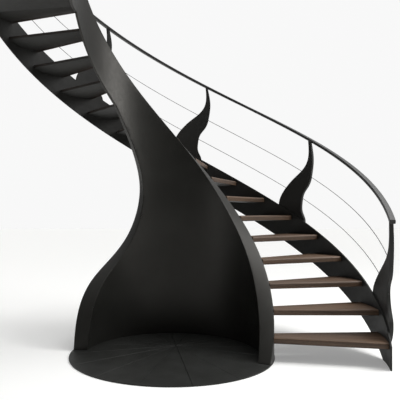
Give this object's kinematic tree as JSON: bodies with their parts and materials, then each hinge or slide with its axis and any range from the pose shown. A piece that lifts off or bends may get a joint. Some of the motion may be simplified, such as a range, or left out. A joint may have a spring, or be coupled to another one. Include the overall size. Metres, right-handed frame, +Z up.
{
  "type": "spiral staircase",
  "caption": "Half-turn spiral staircase with a curved steel core wall, timber treads, flame-shaped balusters and a handrail.",
  "frame": {"origin": "on the stair's axis at floor level, at the centre of the base plate's underside", "axes": "+Z up, +X towards the first tread's side, and the stair climbs anticlockwise seen from above"},
  "size_m": [3.2964, 2.4451, 4.0139],
  "materials": {
    "dark_steel": "satin, nearly black",
    "plate_steel": "satin, nearly black",
    "rail_steel": "semi-gloss dark grey",
    "rod_steel": "blackened and oiled, satin",
    "stained_timber": "grey-brown stain, matt"
  },
  "bodies": {
    "root": {"base_plate": "plate_steel", "core_wall": "dark_steel", "outer_stringer": "dark_steel", "handrail": "rail_steel", "infill_rods": "rod_steel", "baluster_1": "dark_steel", "baluster_2": "dark_steel", "baluster_3": "dark_steel", "baluster_4": "dark_steel", "baluster_5": "dark_steel", "baluster_6": "dark_steel", "tread_board_1": "stained_timber", "tread_board_2": "stained_timber", "tread_board_3": "stained_timber", "tread_board_4": "stained_timber", "tread_board_5": "stained_timber", "tread_board_6": "stained_timber", "tread_board_7": "stained_timber", "tread_board_8": "stained_timber", "tread_board_9": "stained_timber", "tread_board_10": "stained_timber", "tread_board_11": "stained_timber", "tread_board_12": "stained_timber", "tread_board_13": "stained_timber", "tread_board_14": "stained_timber", "tread_board_15": "stained_timber", "tread_board_16": "stained_timber", "tread_pan_1": "dark_steel", "tread_pan_2": "dark_steel", "tread_pan_3": "dark_steel", "tread_pan_4": "dark_steel", "tread_pan_5": "dark_steel", "tread_pan_6": "dark_steel", "tread_pan_7": "dark_steel", "tread_pan_8": "dark_steel", "tread_pan_9": "dark_steel", "tread_pan_10": "dark_steel", "tread_pan_11": "dark_steel", "tread_pan_12": "dark_steel", "tread_pan_13": "dark_steel", "tread_pan_14": "dark_steel", "tread_pan_15": "dark_steel", "tread_pan_16": "dark_steel", "landing_board": "stained_timber", "landing_pan": "dark_steel"}
  },
  "joints": []
}
